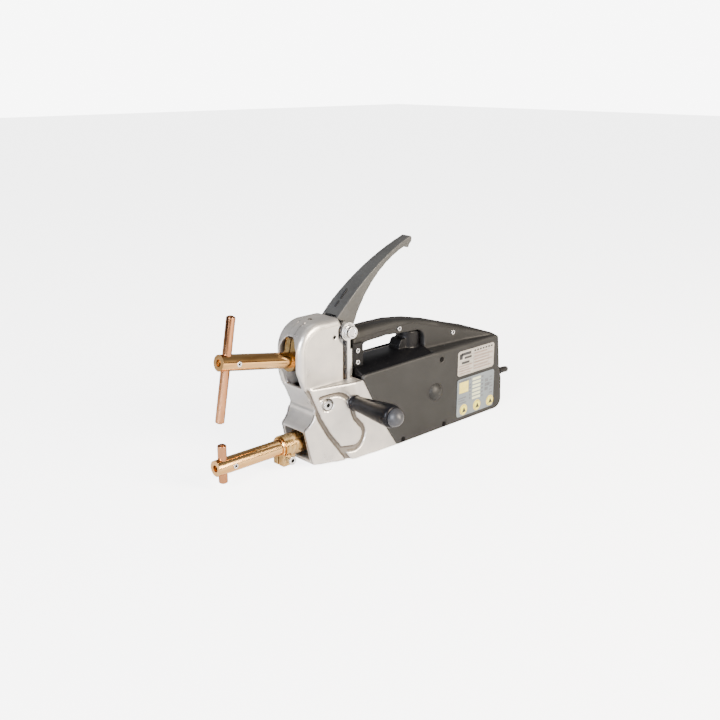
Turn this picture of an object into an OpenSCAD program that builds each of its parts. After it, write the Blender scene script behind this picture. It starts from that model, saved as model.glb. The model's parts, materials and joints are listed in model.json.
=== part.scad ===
// Hand-held spot welder: lever, swinging upper arm, fixed lower arm and integral timer.
// +X points to the rear, +Z up; the origin is the centre of the flat base.

/* [Casing] */
// Width of the plastic casing
casing_w = 74; // [70:1:80]
// Height of the casing's side wall
casing_h = 103; // [98:1:104]
// Rear face where the lead comes out, behind the origin
casing_rear = 105; // [100:1:110]
// Wall of the casing shells
casing_wall = 3; // [2:0.5:3]
// Width of the loop handle
grip_w = 30; // [26:1:32]

/* [Head] */
// Width of the head casting
head_w = 44; // [42:1:46]
// Top of the head casting
head_top = 170; // [168:1:172]
// Front face of the head, ahead of the origin
head_front = 230; // [228:1:232]
// Top of the ledge between head and side cheeks
ledge_z = 96; // [94:1:98]
// Width of the slot that the upper arm comes out of
slot_w = 28; // [27:1:30]

/* [Arms] */
// Diameter of both arms
arm_d = 18; // [16:1:18]
// Height of the lower arm's axis
low_arm_z = 29; // [28:1:32]
// Height of the upper arm's axis when the jaws are shut
up_arm_z = 122; // [120:1:124]
// Distance of the arm ends ahead of the origin
tip_x = 331; // [325:1:340]
// Distance of the electrodes ahead of the origin
electrode_x = 321.5; // [315:0.5:325]
// Diameter of both electrodes
electrode_d = 10; // [8:0.5:10]
// Angle by which the upper arm stands open at rest
open_angle = 10.2; // [9:0.1:10.5]

/* [Side handle] */
// How far the side handle stands out of the casting
side_grip_len = 70; // [60:1:80]
// Diameter of the side handle at its outer end
side_grip_d = 27; // [24:1:28]

/* [Mains lead] */
// Diameter of the lead
cord_d = 8.5; // [8:0.5:9]
// Middle diameter of the stored coil
coil_d = 95; // [88:1:100]

/* [Hidden] */

$fn = 48;
fit = 0.05;             // radial running clearance
side = casing_w / 2;
head_side = head_w / 2;
arm_r = arm_d / 2;
rod_r = electrode_d / 2;
carrier_pivot = [-196, 75];
lever_pivot = [-158, 152.5];
pivot_r = 4;            // both pivot pins
crank_drop = 22;        // from the lever's pivot down to the crank pin
wall = 4.5;             // wall of the castings
taper_front = -222;     // the side cheeks start to widen here
taper_rear = -161;      // and are as wide as the casing from here
jaw_gap = 0.5;          // left between the shut electrodes
low_rod_top = 55;
panel_x0 = 15;
panel_x1 = 88;
button_x = [28, 54.5, 81];
button_z = 15;
side_grip_at = [-163.5, 72.5];
plate_screw_x = -141.7;
plate_screw_z = [112, 126];
grip_screw_at = [[-70, 138], [23, 116.5]];
grip_screw_y = [-grip_w / 2 - 1.6, -grip_w / 2 - 6];
casing_screw_at = [[-15, 92], [-8, 4.4], [-82, 4.2]];
deck_crown = 109.5;     // top of the deck liner's barrel
deck_r = 57;            // and its radius
deck_half = 31.5;       // and its half width
crank = [lever_pivot[0], lever_pivot[1] - crank_drop];
hook_pin = [-200, 131.2];   // on the carrier, with the jaws shut
gland_z = 33;
relief_len = 39;
coil_at = [64, 124];
cord_r = cord_d / 2;
coil_r = coil_d / 2;
coil_lift = 1;          // the tie under the coil holds it off the floor

// A point list along an arc in the XZ plane, from angle a0 to a1 in degrees
function arc(c, r, a0, a1, n) =
    [for (i = [0:n]) let (a = a0 + (a1 - a0) * i / n) [c[0] + r * cos(a), c[1] + r * sin(a)]];

// The outline of a band along a list of points, its half width going from w0 to w1
function band(p, w0, w1) =
    let (n = len(p) - 1,
        side_of = [for (i = [0:n]) let (t = p[min(i + 1, n)] - p[max(i - 1, 0)])
            [-t[1], t[0]] / norm(t) * (w0 + (w1 - w0) * i / n)])
    concat([for (i = [0:n]) p[i] + side_of[i]], [for (i = [n:-1:0]) p[i] - side_of[i]]);

// Extrudes an XZ outline from y0 to y1
module slab(y0, y1) {
    translate([0, y1, 0]) rotate([90, 0, 0]) linear_extrude(y1 - y0) children();
}
// A cylinder along Y, centred on an XZ point, from y0 to y1
module pin_y(p, r, y0, y1) {
    translate([p[0], y1, p[1]]) rotate([90, 0, 0]) cylinder(h = y1 - y0, r = r);
}
// Moves a piece drawn with the jaws shut to its open rest place
module opened() {
    translate([carrier_pivot[0], 0, carrier_pivot[1]]) rotate([0, open_angle, 0])
        translate([-carrier_pivot[0], 0, -carrier_pivot[1]]) children();
}
// A sheet in the XZ plane with rounded corners
module rounded_sheet(x0, z0, x1, z1, r = 3.5) {
    polygon(concat(arc([x1 - r, z0 + r], r, -90, 0, 4), arc([x1 - r, z1 - r], r, 0, 90, 4),
        arc([x0 + r, z1 - r], r, 90, 180, 4), arc([x0 + r, z0 + r], r, 180, 270, 4)));
}
module both_sides() {
    children();
    mirror([0, 1, 0]) children();
}
// A socket-head screw along Y whose head ends at y
module socket_screw(p, y, head_r, shank_r, length) {
    difference() {
        union() {
            pin_y(p, head_r, y, y + head_r);
            pin_y(p, shank_r, y + head_r, y + length);
        }
        translate([p[0], y + head_r * 0.7, p[1]]) rotate([90, 0, 0])
            cylinder(h = head_r, r = head_r * 0.5, $fn = 6);
    }
}

// --- A round tube swept along a list of points ---
function unit(v) = v / norm(v);
function tangent_at(p, i) = unit(p[min(i + 1, len(p) - 1)] - p[max(i - 1, 0)]);
function ring_at(p, i, r, n) =
    let (t = tangent_at(p, i), s = unit(cross(t, [0, 0.04, 1])), u = cross(s, t))
    [for (k = [0:n - 1]) p[i] + r * (cos(360 * k / n) * s + sin(360 * k / n) * u)];
// A smooth curve through the points, by Catmull-Rom steps
function smooth_point(a, b, c, d, t) =
    0.5 * ((2 * b) + (c - a) * t + (2 * a - 5 * b + 4 * c - d) * t * t
        + (3 * b - a - 3 * c + d) * t * t * t);
function smooth_path(p, n) = concat([for (i = [0:len(p) - 2]) for (k = [0:n - 1])
    smooth_point(p[max(i - 1, 0)], p[i], p[i + 1], p[min(i + 2, len(p) - 1)], k / n)],
    [p[len(p) - 1]]);
module swept_tube(p, r, n = 8) {
    rings = [for (i = [0:len(p) - 1]) ring_at(p, i, r, n)];
    last = (len(p) - 1) * n;
    polyhedron(points = [for (ring = rings) for (q = ring) q],
        faces = concat([[for (k = [0:n - 1]) k]],
            [for (i = [0:len(p) - 2]) for (k = [0:n - 1])
                [i * n + k, (i + 1) * n + k, (i + 1) * n + (k + 1) % n, i * n + (k + 1) % n]],
            [[for (k = [n - 1:-1:0]) last + k]]));
}

// --- Castings ---
// Side outline of the head and its neck, down to the visor's crease
head_outline = concat([[-208, 67], [-222, 95], [-230, 117]], arc([-198, 138], 32, 180, 90, 16),
    [[-171, head_top]], arc(lever_pivot, 15.5, 140, 236, 10), [[-166.5, 60], [-200, 60]]);
// Side outline of the lower casting, from the visor round to the base
cheek_outline = concat([[-149, ledge_z], [-221, ledge_z], [-209, 69]],
    arc([-233, 69], 22, 0, -60, 8), [[-224, 47], [-214, 5], [-161, 2], [-92.4, 0],
    [-109.4, 25], [-135.4, 71]]);
module plan_cheeks(inset) {
    polygon([[-240, -head_side + inset], [taper_front, -head_side + inset],
        [taper_rear, -side + inset], [-60, -side + inset], [-60, side - inset],
        [taper_rear, side - inset], [taper_front, head_side - inset], [-240, head_side - inset]]);
}
// The finger channel on each cheek: a straight slanting run and a hook round a pad
module channel_outline() {
    polygon(band([[-221, 101], [-212.5, 77], [-205, 58], [-193.5, 37], [-181.5, 20], [-168, 0]],
        2.4, 3.2));
    polygon(band(concat([[-206, 84]], arc([-186, 66], 20, 95, 20, 5), [[-161, 52]],
        arc([-164, 32], 16, 30, -90, 7), [[-181, 17]]), 2.2, 4.2));
}
module front_casting() {
    color("#c9c6be") difference() {
        union() {
            intersection() {
                slab(-head_side, head_side) polygon(head_outline);
                linear_extrude(200) polygon(concat([[-100, -head_side]],
                    arc([-223, -15], 7, 270, 180, 6), arc([-223, 15], 7, 180, 90, 6),
                    [[-100, head_side]]));
                rotate([90, 0, 90]) translate([0, 0, -240]) linear_extrude(200)
                    polygon(concat([[-head_side, 50]], arc([-15, 163], 7, 180, 90, 6),
                        arc([15, 163], 7, 90, 0, 6), [[head_side, 50]]));
            }
            intersection() {
                slab(-side, side) polygon(cheek_outline);
                linear_extrude(ledge_z) plan_cheeks(0);
            }
        }
        // hollow of the head, open to the rear
        slab(-head_side + wall, head_side - wall)
            polygon(concat([[-200, 60], [-216, 92], [-224, 118]], arc([-198, 138], 26, 180, 90, 8),
                [[-150, 164], [-150, 60]]));
        // hollow of the lower casting
        intersection() {
            slab(-side, side) polygon([[-206, 62], [-206, 91.5], [-140, 91.5], [-131, 71],
                [-80, -2], [-98, 4.5], [-161, 6.5], [-208, 9], [-212, 44]]);
            linear_extrude(ledge_z) plan_cheeks(wall);
        }
        // arm slot with a round top, through the front wall
        translate([-245, 0, 0]) rotate([90, 0, 90]) linear_extrude(40)
            polygon(concat([[-slot_w / 2, 97]], arc([-2, 143], 12, 180, 90, 6),
                arc([2, 143], 12, 90, 0, 6), [[slot_w / 2, 97]]));
        // window for the lower clamp
        translate([-235, -17, 10]) cube([40, 34, 35]);
        // pivot pin, socket for the side handle and small holes
        pin_y(carrier_pivot, pivot_r, -40, 40);
        both_sides() pin_y(carrier_pivot, 7.5, -40, -25.5);
        translate([-196, 0, 150]) cylinder(h = 30, r = 2.5);
        both_sides() pin_y([-179, 149.5], 2, -30, -17);
        both_sides() pin_y(side_grip_at, 5, -40, -22);
        // channel round the pad, on both cheeks
        intersection() {
            slab(-40, 40) channel_outline();
            difference() {
                translate([-240, -40, 0]) cube([100, 80, ledge_z + 2]);
                linear_extrude(ledge_z + 3) plan_cheeks(2.9);
            }
        }
    }
    color("#c9c6be") both_sides() difference() {
        pin_y(side_grip_at, 9, -side + wall, -22);
        pin_y(side_grip_at, 5, -40, -20);
    }
}

bracket_outline = concat([[-156, ledge_z + 0.1], [-156, 142.2]], arc(lever_pivot, 10.5, -79, 259, 24),
    [[-160, 142.2], [-160, ledge_z + 0.1]]);
module lever_bracket() {
    color("#d3d0c8") difference() {
        union() {
            both_sides() slab(-head_side, -14.3) polygon(bracket_outline);
            both_sides() slab(-head_side + wall, -16.2)
                translate([-160, ledge_z + 0.1]) square([11, 33.4]);
            translate([-151, -16.2, ledge_z + 0.1]) cube([2, 32.4, 25]);
            both_sides() pin_y(lever_pivot, 9, -head_side - 1.5, -head_side);
        }
        pin_y(lever_pivot, pivot_r, -30, 30);
    }
}

// --- Casing ---
casing_outline = concat([[-92, 0], [-109, 25], [-135, 71], [-148.6, ledge_z],
    [-148.6, casing_h - 4]], [[-146, casing_h - 2], [-24, casing_h]],
    arc([casing_rear - 14, casing_h - 4.5], 4.5, 90, 5, 4),
    [[casing_rear - 5, 54], [casing_rear - 0.5, 42]],
    arc([casing_rear - 11, 12], 12, 0, -90, 6));
hump_outline = concat([[-146, 101], [-146, 128]], arc([-134, 140], 9, 160, 90, 4),
    [[-109, 149.5], [-76, 148.5], [-41, 143.5], [-4, 134.5], [44, 119.5], [90, 105.5],
    [94.5, 101], [80, 90],
    [-30, 90], [-30, 101]]);
hump_plan = [[-150, -grip_w / 2], [-34, -grip_w / 2], [-10, -grip_w / 2 - 2], [44, -22], [96, -34],
    [100, -34], [100, 34], [96, 34], [44, 22], [-10, grip_w / 2 + 2], [-34, grip_w / 2], [-150, grip_w / 2]];
finger_hole = concat([[-131, 90]], arc([-123, 124], 8, 180, 100, 4), [[-90, 133.5], [-60, 131]],
    arc([-39, 116], 14, 80, 0, 5), [[-25, 90]]);
module casing_body() {
    difference() {
        union() {
            slab(-side, side) polygon(casing_outline);
            intersection() {
                slab(-side, side) polygon(hump_outline);
                linear_extrude(200) polygon(hump_plan);
            }
        }
        // inside, leaving the walls
        slab(-side + casing_wall, side - casing_wall) polygon([[-86, casing_wall],
            [-106, 25], [-132, 71], [-143, 90], [-143, 97], [86, 97], [92, 93], [96.5, 54],
            [101, 42], [102.5, 14], [90, casing_wall]]);
        slab(-8, 8) polygon([[-25, 96], [-20, 122], [30, 110], [66, 96]]);
        slab(-deck_half - 0.5, deck_half + 0.5) polygon(finger_hole);
        // way through to the casting for the copper
        slab(-30, 30) polygon([[-105, 8], [-150, 85], [-130, 85], [-80, 8]]);
        // seat of the deck liner
        translate([-149, -deck_half - 0.5, 90]) cube([124, 2 * deck_half + 1, 30]);
        translate([-152, -17, 90]) cube([4.8, 34, 30]);
        // fixings, cord and buttons
        both_sides() for (p = casing_screw_at)
            translate([p[0], -side - 1, p[1]]) rotate([-90, 0, 0]) cylinder(h = 3, r = 3.5);
        for (i = [0:1]) {
            pin_y(grip_screw_at[i], 1.6, -30, 30);
            pin_y(grip_screw_at[i], 3.1, -40, grip_screw_y[i] + 3);
        }
        translate([95, 0, gland_z]) rotate([0, 90, 0]) cylinder(h = 20, r = 8);
        translate([casing_rear, 0, gland_z]) rotate([0, 90, 0]) cylinder(h = 20, r = 10.2);
        for (z = plate_screw_z) pin_y([plate_screw_x, z], 2, -side, side);
        for (x = button_x) pin_y([x, button_z], 5.8, -side - 1, -side + 5);
        translate([panel_x0 + 4, -side - 1, 38]) cube([18, 5, 15]);
        pin_y([-26, 52], 3, -side - 1, -side + 5);
    }
    // the handle's front root and its top, back in place over the seat
    difference() {
        intersection() {
            slab(-grip_w / 2, grip_w / 2) polygon(hump_outline);
            translate([-150, -40, 98]) cube([125, 80, 60]);
        }
        slab(-deck_half - 0.5, deck_half + 0.5) polygon(finger_hole);
        pin_y(grip_screw_at[0], 1.6, -30, 30);
        pin_y(grip_screw_at[0], 3.1, -40, grip_screw_y[0] + 3);
        for (z = plate_screw_z) pin_y([plate_screw_x, z], 2, -side, side);
        slab(-8, 8) polygon([[-140, 104], [-140, 138], [-133, 142], [-133, 104]]);
    }
}
module casing_half(from_y) {
    intersection() {
        casing_body();
        translate([-200, from_y, -10]) cube([400, 59.9, 200]);
    }
}
module casing_right() { color("#5c5852") casing_half(-60); }
module casing_left() { color("#5c5852") casing_half(0.1); }

// Glossy barrel-shaped deck under the handle, with the round root behind the fingers
module deck_liner() {
    color("#1d1c1e") difference() {
        union() {
            intersection() {
                translate([-146, 0, deck_crown - deck_r]) rotate([0, 90, 0])
                    cylinder(h = 120.4, r = deck_r, $fn = 96);
                translate([-146, -deck_half, 95]) cube([120.4, 2 * deck_half, 30]);
            }
            intersection() {
                translate([-40, 0, 98]) cylinder(h = 33, r = 14.4);
                slab(-14.4, 14.4) polygon([[-55, 98], [-55, 129.3], [-38, 129.3], [-29.5, 125],
                    [-25.6, 117], [-25.6, 98]]);
            }
            slab(-9, 9) polygon([[-64, 98], [-63, 114], [-59.5, 120.5], [-50, 121], [-50, 98]]);
        }
        // hollow underneath, and room for the handle's front root
        translate([-128, -24, 90]) cube([98, 48, 10]);
        translate([-150, -17.7, 90]) cube([19.2, 35.4, 40]);
    }
}

module handle_plates() {
    color("#262527") both_sides() difference() {
        slab(-grip_w / 2 - 2.4, -grip_w / 2) polygon([[-147.5, 112], [-147.5, 134],
            [-131.5, 134], [-131.5, 98.5], [-139.5, 98.5]]);
        for (z = plate_screw_z) pin_y([plate_screw_x, z], 2, -25, -10);
    }
}
module plate_screws() {
    color("silver") both_sides() for (z = plate_screw_z)
        socket_screw([plate_screw_x, z], -grip_w / 2 - 5.3, 2.9, 2, 7);
}
module handle_screws() {
    color("silver") for (i = [0:1]) socket_screw(grip_screw_at[i], grip_screw_y[i], 3, 1.6, 12);
}
module casing_screws() {
    color("#2b2b2b") both_sides() for (p = casing_screw_at)
        translate([p[0], -side + 1.2, p[1]]) rotate([-90, 0, 0]) cylinder(h = 0.8, r = 3.2);
}
module dome_plug() {
    color("#5c5852") {
        intersection() {
            translate([-26, -side + 8.2, 52]) sphere(14);
            pin_y([-26, 52], 11.2, -side - 8, -side);
        }
        pin_y([-26, 52], 3, -side, -side + 4.5);
    }
}

// --- Panel and electronics ---
module rating_label() {
    color("#e9e7df") slab(-side - 0.4, -side)
        rounded_sheet(panel_x0, 62, panel_x1 - 2, 95);
}
module control_panel() {
    color("#cfd3c6") difference() {
        slab(-side - 0.6, -side) rounded_sheet(panel_x0, 6.5, panel_x1, 57.5);
        for (x = button_x) pin_y([x, button_z], 5.8, -side - 2, -side + 1);
        translate([panel_x0 + 4, -side - 1, 38]) cube([18, 5, 15]);
    }
}
module display_window() {
    color("#4a5a35") translate([panel_x0 + 4.1, -side - 0.4, 38.1]) cube([17.8, 3, 14.8]);
}
module button(i) {
    color("#e3c22e") {
        pin_y([button_x[i], button_z], 5.5, -side - 1.6, -side + 3.5);
        pin_y([button_x[i], button_z], 2, -side + 3.5, -side + 5.2);
    }
}
module button_left() { button(0); }
module button_middle() { button(1); }
module button_right() { button(2); }
module timer_board() {
    color("#2f6a43") {
        slab(-side + 8.4, -side + 10) translate([panel_x0, 9]) square([75, 84]);
        for (x = button_x) translate([x - 3, -side + 6.4, button_z - 3]) cube([6, 2, 6]);
        translate([panel_x0 + 30, -side + 10, 40]) cube([26, 14, 30]);
        translate([panel_x0 + 5, -side + 10, 62]) cube([16, 10, 22]);
    }
}
module thyristor_module() {
    color("#8b8f94") {
        translate([30, 4, 5.2]) cube([56, 26, 5]);
        for (i = [0:6]) translate([31 + i * 8.6, 4, 10.2]) cube([2.4, 26, 26]);
        translate([40, -4, 5.2]) cube([30, 8, 14]);
    }
}
module chassis_plate() {
    color("#9ea2a6") translate([-84, -33, 3.2]) cube([171, 66, 2]);
}
module transformer_core() {
    color("#6d6a66") difference() {
        translate([-76, -31, 5.2]) cube([88, 62, 84]);
        for (x = [-59, -19]) translate([x, -40, 22]) cube([14, 80, 50]);
    }
}
module primary_coils() {
    color("#b5651d") both_sides() difference() {
        translate([-59.5, -33.6, 21.5]) cube([55, 33.4, 51]);
        translate([-45.2, -40, 20]) cube([26.4, 80, 55]);
        // the core's limbs and yokes, with 0.2 mm round the winding
        translate([-80, -31.2, 0]) cube([21.2, 62.4, 90]);
        translate([-60, -31.2, 71.8]) cube([60, 62.4, 10]);
        translate([-60, -31.2, 12]) cube([60, 62.4, 10.2]);
        translate([-5.2, -31.2, 0]) cube([20, 62.4, 90]);
    }
}
module secondary_bar() {
    color("#b87333") {
        translate([-205, -13, 23]) cube([8, 26, 12]);
        translate([-197, -13, 23]) cube([112, 26, 8]);
        translate([-93, -13, 31]) cube([8, 26, 30]);
        translate([-85, -13, 50]) cube([8.8, 26, 11]);
    }
}
module terminal_insulator() {
    color("#8a5a2b") translate([-175, -15, 7.5]) cube([40, 30, 15.3]);
}
// Laminated copper that feeds the moving carrier
module flexible_strap() {
    color("#c07a3e") slab(-11, 11) polygon(band([[-76.2, 70], [-112, 70], [-128, 73], [-142, 80],
        [-156, 87], [-170, 91], [-177, 92]], 2, 2));
}

// --- Lower arm ---
module lower_clamp() {
    color("#c8a24a") difference() {
        union() {
            translate([-243, 0, low_arm_z]) rotate([0, 90, 0]) cylinder(h = 38, r = 12.8);
            translate([-246, -9, 8]) cube([17, 18, 14]);
        }
        translate([-250, 0, low_arm_z]) rotate([0, 90, 0]) cylinder(h = 44, r = arm_r + fit);
        translate([-250, -0.8, 0]) cube([24, 1.6, 22]);
        pin_y([-236.5, 14.5], 3, -20, 20);
    }
}
module lower_clamp_screw() { color("silver") socket_screw([-236.5, 14.5], -14, 5, 3, 24); }
// An arm along X: tip at the front, cross hole for its rod, socket in its end
module arm(z, rear_x) {
    color("#c98655") difference() {
        translate([-tip_x, 0, z]) rotate([0, 90, 0]) cylinder(h = tip_x - rear_x, r = arm_r);
        translate([-electrode_x, 0, z - 15]) cylinder(h = 30, r = rod_r + fit);
        translate([-tip_x - 1, 0, z]) rotate([0, 90, 0]) cylinder(h = 4.5, r = 4);
        pin_y([-electrode_x + 11, z], 3, -15, 0);
    }
}
// A rod between z0 and z1 with slightly domed ends
module electrode(z0, z1) {
    dome = 2;
    dome_r = (rod_r * rod_r + dome * dome) / (2 * dome);
    color("#b9764a") translate([-electrode_x, 0, 0]) intersection() {
        translate([0, 0, z0]) cylinder(h = z1 - z0, r = rod_r);
        union() {
            translate([0, 0, z0 + dome]) cylinder(h = z1 - z0 - 2 * dome, r = rod_r);
            translate([0, 0, z0 + dome_r]) sphere(dome_r, $fn = 64);
            translate([0, 0, z1 - dome_r]) sphere(dome_r, $fn = 64);
        }
    }
}
module lower_arm() { arm(low_arm_z, 206); }
module lower_electrode() { electrode(9, low_rod_top); }
module set_screw(z) {
    color("silver") difference() {
        pin_y([-electrode_x + 11, z], 3, -arm_r - 0.5, -1);
        pin_y([-electrode_x + 11, z], 1.4, -arm_r - 1, -arm_r + 2);
    }
}
module electrode_screws() { set_screw(low_arm_z); }

// --- Swinging upper arm ---
module arm_carrier() {
    color("#b9b4aa") opened() difference() {
        union() {
            slab(-10.4, 10.4) polygon([[-211, 108], [-211, 138], [-196, 142], [-192, 130],
                [-187, 80], [-203, 74]]);
            pin_y(carrier_pivot, 9.5, -17, 17);
        }
        pin_y(carrier_pivot, 6.5, -20, 20);
        translate([-209, -5.6, 122]) cube([30, 11.2, 30]);
    }
    // pin that the link's slotted eye hooks over
    color("silver") opened() pin_y(hook_pin, 3, -10.3, 10.3);
}
module carrier_bushes() {
    color("#b08d57") opened() both_sides() difference() {
        pin_y(carrier_pivot, 6.5, -17, -5);
        pin_y(carrier_pivot, pivot_r + fit, -20, 0);
    }
}
module carrier_pin() {
    color("silver") difference() {
        union() {
            pin_y(carrier_pivot, pivot_r, -26, 28.5);
            pin_y(carrier_pivot, 5.6, -29.4, -25.5);
            pin_y(carrier_pivot, 5.6, 25.5, 28.5);
        }
        translate([carrier_pivot[0], -27, carrier_pivot[1]]) rotate([90, 0, 0])
            cylinder(h = 5, r = 2.9, $fn = 6);
    }
}
module carrier_insulator() {
    color("#7a4a2a") opened() translate([-213, -10.4, 109]) cube([2, 20.8, 28]);
}
module upper_clamp() {
    color("#c8a24a") opened() difference() {
        union() {
            translate([-237, 0, up_arm_z]) rotate([0, 90, 0]) cylinder(h = 24, r = 12.6);
            translate([-237, -9, 126]) cube([14, 18, 20]);
            translate([-217, -10.4, 109]) cube([4, 20.8, 28]);
        }
        translate([-240, 0, up_arm_z]) rotate([0, 90, 0]) cylinder(h = 24, r = arm_r + fit);
        translate([-240, -0.9, 126]) cube([18, 1.8, 22]);
        pin_y([-230, 140], 2.5, -20, 20);
    }
}
module upper_clamp_screw() { color("silver") opened() socket_screw([-230, 140], -13, 4, 2.5, 22); }
module upper_arm() { opened() arm(up_arm_z, 218); }
module upper_electrode() { opened() electrode(low_rod_top + jaw_gap, 172.5); }
module upper_arm_screw() { opened() set_screw(up_arm_z); }
module return_spring() {
    color("#8f8f8f") both_sides() for (i = [0:1]) translate([carrier_pivot[0], -18.9 - i * 2.1,
        carrier_pivot[1]]) rotate([90, 0, 0]) rotate_extrude() translate([8, 0]) circle(0.9, $fn = 16);
}
module stop_screw() { color("#3a3a3a") translate([-196, 0, 158]) cylinder(h = 8, r = 2.5); }

// --- Lever ---
// Eleven points on the circle through three points, its radius made smaller by d
function arc_through(a, b, c, d) =
    let (m = 2 * (a[0] * (b[1] - c[1]) + b[0] * (c[1] - a[1]) + c[0] * (a[1] - b[1])),
        sa = a * a, sb = b * b, sc = c * c,
        o = [(sa * (b[1] - c[1]) + sb * (c[1] - a[1]) + sc * (a[1] - b[1])) / m,
            (sa * (c[0] - b[0]) + sb * (a[0] - c[0]) + sc * (b[0] - a[0])) / m],
        t0 = atan2(a[1] - o[1], a[0] - o[0]), t1 = atan2(c[1] - o[1], c[0] - o[0]))
    arc(o, norm(a - o) - d, t0, t1, 10);
upper_ends = [[-168.5, 167.5], [-112, 213], [-44, 246.5]];
lower_ends = [[-54, 235], [-111, 201], [-142, 156]];
function upper_edge(d) = arc_through(upper_ends[0], upper_ends[1], upper_ends[2], d);
function lower_edge(d) = arc_through(lower_ends[0], lower_ends[1], lower_ends[2], d);
lever_side = concat(upper_edge(0), [[-41, 244], [-41.5, 240], [-46, 236], [-47, 232.5], [-50, 233]],
    lower_edge(0));
module lever_plan(inset) {
    polygon([[-200, inset - 13.5], [-150, inset - 13.5], [-38, inset - 6.5], [-38, 6.5 - inset],
        [-150, 13.5 - inset], [-200, 13.5 - inset]]);
}
module lever_shell() {
    color("#55524d") difference() {
        intersection() {
            slab(-13.5, 13.5) polygon(lever_side);
            linear_extrude(260) lever_plan(0);
        }
        // channel underneath for the steel core
        intersection() {
            slab(-7, 7) polygon(concat(lower_edge(3), upper_edge(4.5)));
            linear_extrude(260) lever_plan(2);
        }
        slab(-9.7, 9.7) translate([-170, 150]) square([30, 20]);
        // two shallow slots in the top face
        for (s = [[-155, 180.2, 9], [-144.4, 190.4, 14]]) translate([s[0], 1.2, s[1]])
            rotate([0, -43.5, 0]) cube([s[2], 2, 3], center = true);
    }
}
module lever_core() {
    color("#85878a") difference() {
        union() {
            both_sides() slab(-9.4, -6.4) polygon(concat([[-165, 128], [-165, 152]],
                arc(lever_pivot, 9, 180, 140, 3), [[-157, 167], [-148, 166], [-148, 150]],
                arc([-158, 130.5], 6, 0, -90, 3), [[-162, 124.5]]));
            // tab that works the switch, and the tongue up inside the shell
            translate([-165, -14, 128]) cube([4, 5, 6]);
            slab(-6.6, 6.6) polygon([[-158, 165], [-152, 162], [-140, 176], [-121, 198],
                [-123, 200.5], [-144, 180]]);
        }
        pin_y(lever_pivot, 6, -20, 20);
        pin_y(crank, 3, -20, 20);
    }
}
module lever_bush() {
    color("#b08d57") difference() {
        pin_y(lever_pivot, 6, -13.6, 13.6);
        pin_y(lever_pivot, pivot_r + fit, -20, 20);
    }
}
module lever_bolt() {
    color("#c4c4c6") {
        pin_y(lever_pivot, pivot_r, -24, 27);
        pin_y(lever_pivot, 8.3, -24.9, -23.6);
        difference() {
            pin_y(lever_pivot, 7, -29.4, -24.9);
            pin_y(lever_pivot, 4.2, -30, -28.6);
        }
    }
}
module lever_nut() {
    color("#c4c4c6") difference() {
        translate([lever_pivot[0], 29.6, lever_pivot[1]]) rotate([90, 0, 0])
            cylinder(h = 6, r = 7.5, $fn = 6);
        pin_y(lever_pivot, pivot_r, 20, 40);
    }
}
module link_rod() {
    link_z = crank[1] + 0.4;
    color("#9a9ca0") difference() {
        union() {
            pin_y(crank, 6, -5, 5);
            translate([-182, 0, link_z]) rotate([0, 90, 0]) cylinder(h = 20, r = 3);
            translate([-195.6, -5, link_z - 6.4]) cube([15.2, 10, 12.8]);
        }
        pin_y(crank, 3 + fit, -10, 10);
        translate([-193.6, -6, link_z - 4.6]) cube([9.2, 12, 9.2]);
    }
}
// Close-wound spring on the link, drawn as its turns
module force_spring() {
    color("#5b5d60") for (i = [0:6]) translate([-179.2 + i * 2.2, 0, crank[1] + 0.4])
        rotate([0, 90, 0]) rotate_extrude() translate([4.2, 0]) circle(0.9, $fn = 16);
}
module crank_pin() { color("silver") pin_y(crank, 3, -9.2, 9.2); }
module trigger_switch() {
    color("#222222") difference() {
        translate([-197, -17.3, 129]) cube([16.4, 6.2, 12]);
        translate([-184.5, -14.8, 133.8]) cube([8, 3.2, 4.4]);
    }
}
module switch_plunger() {
    color("#b33a2a") translate([-181.4, -14.6, 134]) cube([5.3, 2.8, 4]);
}

// --- Side handle ---
module side_grip() {
    color("#17171a") difference() {
        pin_cone(side_grip_at, side_grip_d / 2 - 5, side_grip_d / 2, -side, side_grip_len - 6);
        pin_y(side_grip_at, 5, -side - 30, -side + 1);
    }
}
// A cone along -Y from y, of the given length
module pin_cone(p, r0, r1, y, length) {
    translate([p[0], y, p[1]]) rotate([90, 0, 0]) cylinder(h = length, r1 = r0, r2 = r1);
}
module side_grip_cap() {
    color("#6a6a6c") intersection() {
        translate([side_grip_at[0], -side - side_grip_len + 16, side_grip_at[1]]) sphere(22);
        pin_y(side_grip_at, 10.6, -side - side_grip_len - 6, -side - side_grip_len + 6);
    }
}
module side_grip_stud() { color("silver") pin_y(side_grip_at, 5, -side - 28, -side + 13); }

// --- Mains lead ---
module cord_gland() {
    color("#151515") difference() {
        union() {
            translate([98.2, 0, gland_z]) rotate([0, 90, 0]) cylinder(h = 7.3, r = 8);
            translate([casing_rear, 0, gland_z]) rotate([0, 90, 0]) cylinder(h = 3, r = 10);
        }
        translate([90, 0, gland_z]) rotate([0, 90, 0]) cylinder(h = 20, r = cord_r);
    }
}
module strain_relief() {
    color("#151515") translate([casing_rear + 3, 0, gland_z]) rotate([0, 90, 0])
        cylinder(h = relief_len, r1 = 7.5, r2 = cord_r + 0.8);
}
lead_route = [[147, 0, 33], [152, 0, 32.8], [160, 2, 31.5], [168, 6, 29], [175, 13, 25.5],
    [180, 22, 21], [182, 32, 16.5], [181, 42, 12.5], [177, 51, 9.5], [170, 59, 7.4],
    [161, 65, 6], [150, 68, 5.3], [138, 68.5, 5.2], [124, 68, 5.3], [108, 68, 5.4], [90, 68, 5.4],
    [64, 68, 5.4]];
tail_route = [[64, 180, 13.6], [76, 180, 13.5], [88, 180, 13.2], [100, 180, 13], [112, 180, 13.2],
    [124, 180, 13.8], [134, 180, 14.4]];
module cord_tube() { color("#141414") swept_tube(smooth_path(lead_route, 2), cord_r, 10); }
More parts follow.
